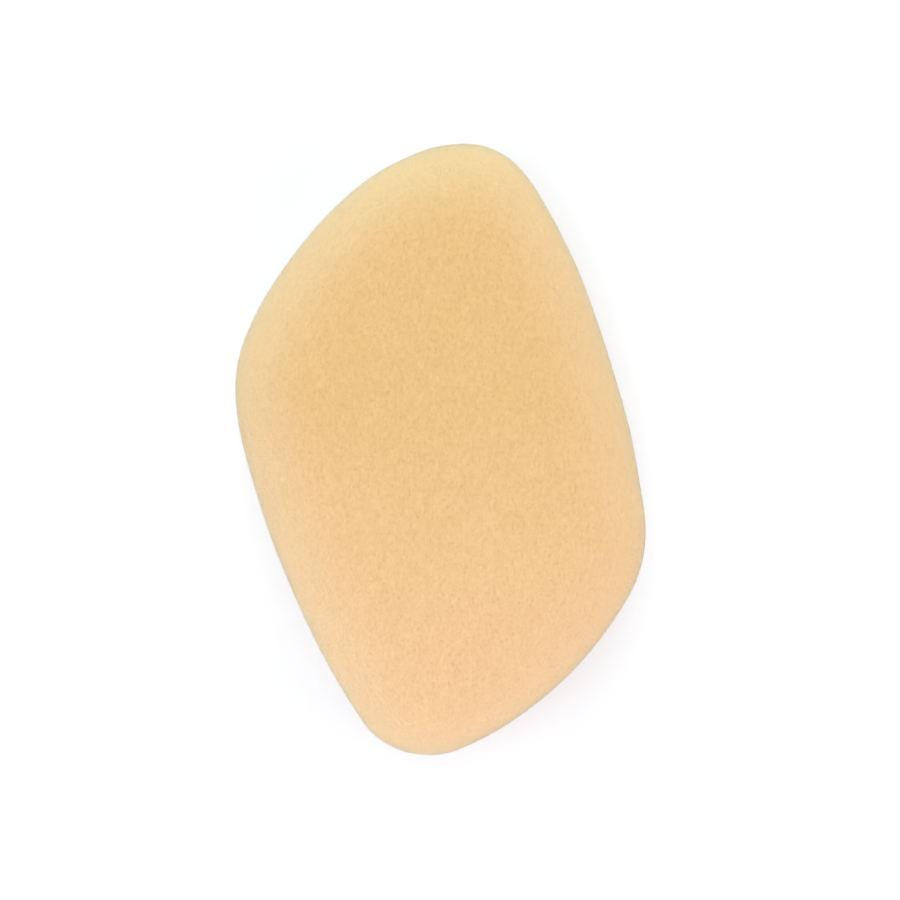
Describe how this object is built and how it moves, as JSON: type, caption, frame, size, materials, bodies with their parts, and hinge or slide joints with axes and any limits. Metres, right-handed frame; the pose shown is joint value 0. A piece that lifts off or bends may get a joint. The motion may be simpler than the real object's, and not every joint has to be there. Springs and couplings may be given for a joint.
{
  "type": "makeup sponge",
  "caption": "Flat lozenge-shaped makeup sponge with full round edges: a soft foam core in a continuous velvet flock coat, for blending foundation and powder.",
  "frame": {"origin": "on the surface the sponge lies on, under the middle of its outline", "axes": "+X along its width, +Y along its length towards the upper tip, +Z through its thickness towards the front face"},
  "size_m": [0.051, 0.076, 0.018],
  "materials": {
    "foam": "open-cell foam, matte",
    "glue": "thin flexible glue film, satin",
    "flock": "short upright pile, velvet"
  },
  "bodies": {
    "root": {"foam_core": "foam", "glue_coat": "glue", "flock_coat": "flock"}
  },
  "joints": []
}
